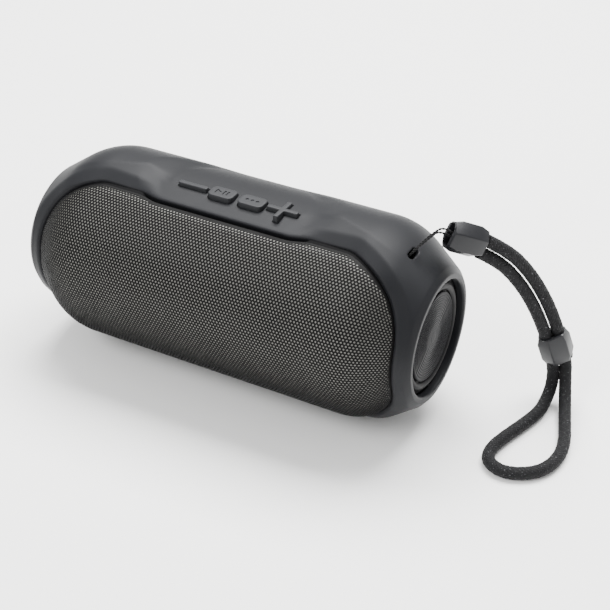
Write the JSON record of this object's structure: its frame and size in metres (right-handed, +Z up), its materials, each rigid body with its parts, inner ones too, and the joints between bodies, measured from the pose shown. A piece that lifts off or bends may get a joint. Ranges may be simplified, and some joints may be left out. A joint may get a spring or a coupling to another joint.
{
  "type": "portable speaker",
  "caption": "Barrel-shaped portable shower speaker with a rubber sleeve, perforated front grille, raised top buttons, end passive radiators and a braided wrist strap.",
  "frame": {"origin": "on the surface the speaker stands on, under the middle of the barrel", "axes": "+X along the barrel towards the wrist strap's end, -Y towards the front grille, +Z up"},
  "size_m": [0.2092, 0.0789, 0.0809],
  "materials": {
    "sleeve_rubber": "soft-touch moulded silicone, satin, dark grey",
    "button_rubber": "soft-touch moulded silicone, satin, slightly lighter grey",
    "foot_rubber": "matt rubber",
    "grille_steel": "perforated steel, satin black powder coat",
    "grille_cloth": "fine acoustic mesh, dark grey",
    "cabinet_plastic": "moulded ABS, fine spark texture",
    "seal_rubber": "foamed rubber",
    "basket_steel": "pressed steel, black paint",
    "motor_steel": "zinc-plated steel",
    "ferrite": "sintered ferrite, ground faces",
    "coil_copper": "enamelled copper wire",
    "cone_plastic": "polypropylene, fine grain",
    "surround_rubber": "butyl rubber, satin",
    "spider_cloth": "treated woven cotton",
    "ring_plastic": "moulded ABS",
    "radiator_disc": "turned steel, concentric grooves, satin black",
    "circuit_board": "glass-epoxy board with green solder mask",
    "chip_plastic": "moulded component packages",
    "plated_steel": "plated steel",
    "light_pipe": "clear moulded light pipe",
    "battery_jacket": "plastic shrink jacket over a metal can",
    "screw_steel": "zinc-plated steel",
    "string_cord": "thin twisted nylon string, black",
    "braided_cord": "braided polyester cord, black with a few pale flecks",
    "bead_plastic": "moulded plastic, satin, dark grey"
  },
  "bodies": {
    "speaker": {"aux_jack": "chip_plastic", "battery_cell": "battery_jacket", "battery_cradle": "cabinet_plastic", "board_chips": "chip_plastic", "board_screws": "screw_steel", "button_board": "circuit_board", "cabinet_screws": "screw_steel", "cabinet_seal": "seal_rubber", "card_slot": "plated_steel", "driver_screws": "screw_steel", "end_bead": "bead_plastic", "front_cabinet": "cabinet_plastic", "front_grille": "grille_steel", "grille_cloth": "grille_cloth", "lanyard_pin": "screw_steel", "lanyard_string": "string_cord", "left_driver_basket": "basket_steel", "left_driver_magnet": "ferrite", "left_driver_spider": "spider_cloth", "left_driver_surround": "surround_rubber", "left_driver_top_plate": "motor_steel", "left_driver_yoke": "motor_steel", "left_radiator_ring": "ring_plastic", "left_radiator_surround": "surround_rubber", "main_board": "circuit_board", "microphone": "plated_steel", "rear_cabinet": "cabinet_plastic", "right_driver_basket": "basket_steel", "right_driver_magnet": "ferrite", "right_driver_spider": "spider_cloth", "right_driver_surround": "surround_rubber", "right_driver_top_plate": "motor_steel", "right_driver_yoke": "motor_steel", "right_radiator_ring": "ring_plastic", "right_radiator_surround": "surround_rubber", "rubber_feet": "foot_rubber", "rubber_sleeve": "sleeve_rubber", "status_light": "light_pipe", "tact_switches": "chip_plastic", "usb_c_socket": "plated_steel", "wrist_strap": "braided_cord"},
    "minus_button": {"minus_button": "button_rubber"},
    "play_button": {"play_button": "button_rubber"},
    "mode_button": {"mode_button": "button_rubber"},
    "plus_button": {"plus_button": "button_rubber"},
    "port_cover": {"port_cover": "sleeve_rubber"},
    "left_radiator": {"left_radiator_weight": "radiator_disc"},
    "right_radiator": {"right_radiator_weight": "radiator_disc"},
    "left_cone": {"left_driver_cone": "cone_plastic", "left_driver_dust_cap": "cone_plastic", "left_driver_voice_coil": "coil_copper"},
    "right_cone": {"right_driver_cone": "cone_plastic", "right_driver_dust_cap": "cone_plastic", "right_driver_voice_coil": "coil_copper"},
    "slider_bead": {"slider_bead": "bead_plastic"}
  },
  "joints": [
    {"name": "minus_press", "type": "slide", "parent": "speaker", "child": "minus_button", "axis": [0, 0, -1], "range_m": [0, 0.0006], "stiffness_N_per_m": 2500},
    {"name": "play_press", "type": "slide", "parent": "speaker", "child": "play_button", "axis": [0, 0, -1], "range_m": [0, 0.0006], "stiffness_N_per_m": 2500},
    {"name": "mode_press", "type": "slide", "parent": "speaker", "child": "mode_button", "axis": [0, 0, -1], "range_m": [0, 0.0006], "stiffness_N_per_m": 2500},
    {"name": "plus_press", "type": "slide", "parent": "speaker", "child": "plus_button", "axis": [0, 0, -1], "range_m": [0, 0.0006], "stiffness_N_per_m": 2500},
    {"name": "port_cover_hinge", "type": "hinge", "parent": "speaker", "child": "port_cover", "pos_m": [0, 0.0373, 0.03065], "axis": [-1, 0, 0], "range_deg": [0, 115]},
    {"name": "left_radiator_stroke", "type": "slide", "parent": "speaker", "child": "left_radiator", "axis": [-1, 0, 0], "range_m": [-0.0018, 0.0018], "stiffness_N_per_m": 900},
    {"name": "right_radiator_stroke", "type": "slide", "parent": "speaker", "child": "right_radiator", "axis": [1, 0, 0], "range_m": [-0.0018, 0.0018], "stiffness_N_per_m": 900},
    {"name": "left_cone_stroke", "type": "slide", "parent": "speaker", "child": "left_cone", "axis": [0, -1, 0], "range_m": [-0.0015, 0.0015], "stiffness_N_per_m": 1500},
    {"name": "right_cone_stroke", "type": "slide", "parent": "speaker", "child": "right_cone", "axis": [0, -1, 0], "range_m": [-0.0015, 0.0015], "stiffness_N_per_m": 1500},
    {"name": "slider_bead_slide", "type": "slide", "parent": "speaker", "child": "slider_bead", "axis": [-0.2525, -0.223, 0.9415], "range_m": [0, 0.004]}
  ]
}
